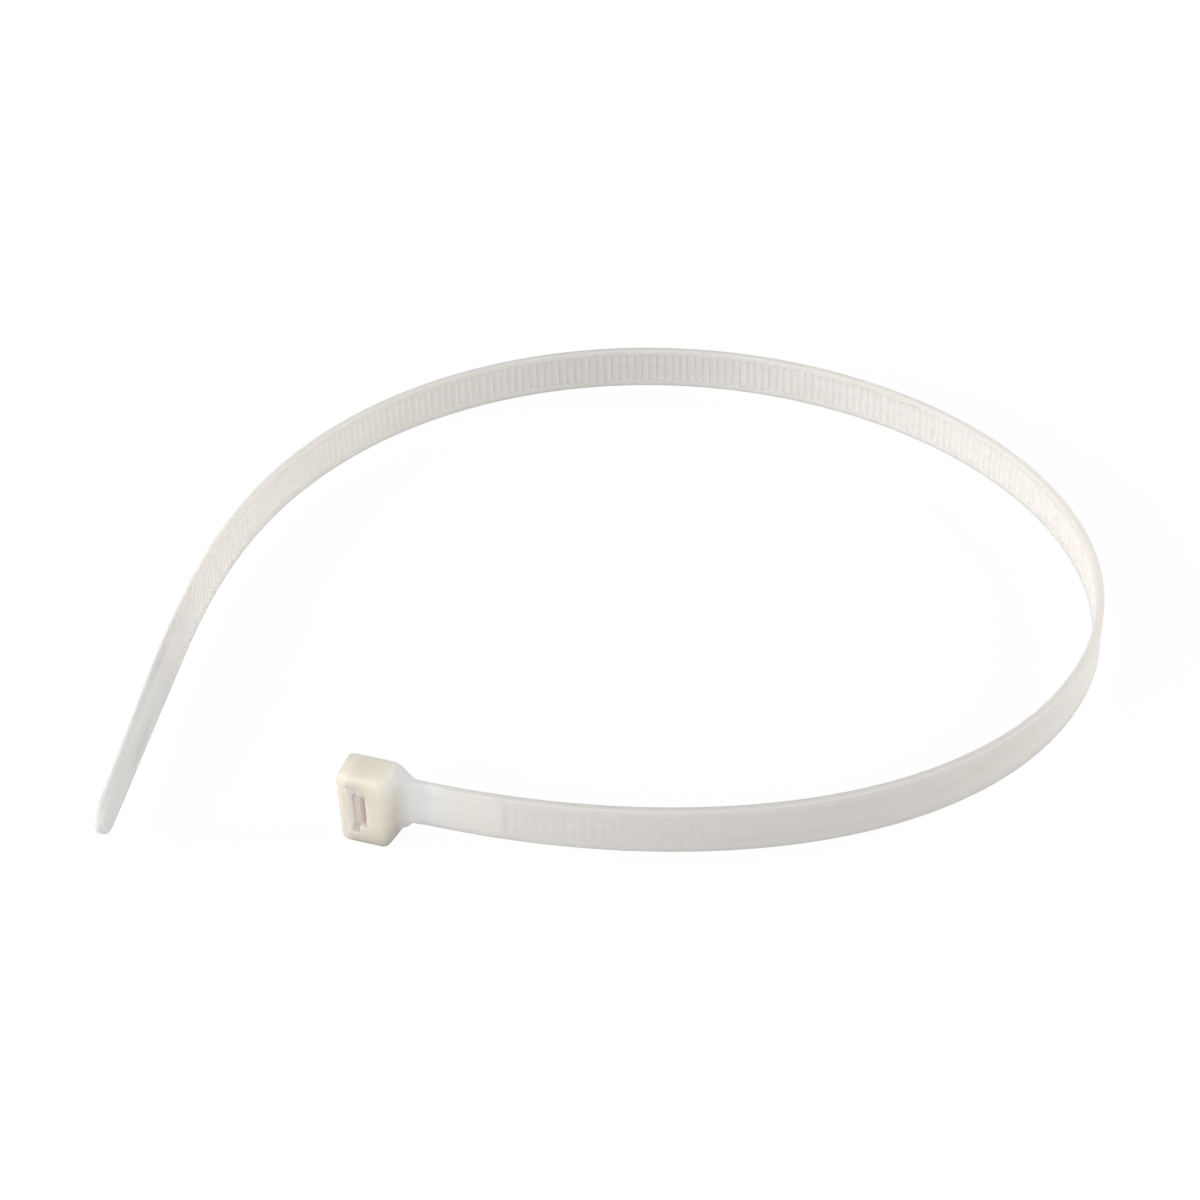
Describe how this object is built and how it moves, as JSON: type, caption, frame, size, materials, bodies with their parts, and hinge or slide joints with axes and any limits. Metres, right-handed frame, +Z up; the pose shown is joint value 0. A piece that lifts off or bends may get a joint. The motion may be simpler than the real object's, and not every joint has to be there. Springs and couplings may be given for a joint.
{
  "type": "cable tie",
  "caption": "Self-locking nylon strap with a toothed rack on its inner face, a narrowing tail and a head with a slot and ratchet pawl, lying on its edge in an open loop.",
  "frame": {"origin": "middle of the loop's bounding box in X and Y, on the plane the head's edge rests on", "axes": "+Z up from the surface it lies on, across the width of the strap; +X to the right as pictured, along the longer way across the loop; +Y away from the camera"},
  "size_m": [0.1844, 0.1592, 0.015],
  "materials": {
    "nylon": "satin, milky and slightly see-through"
  },
  "bodies": {
    "root": {"cable_tie": "nylon"}
  },
  "joints": []
}
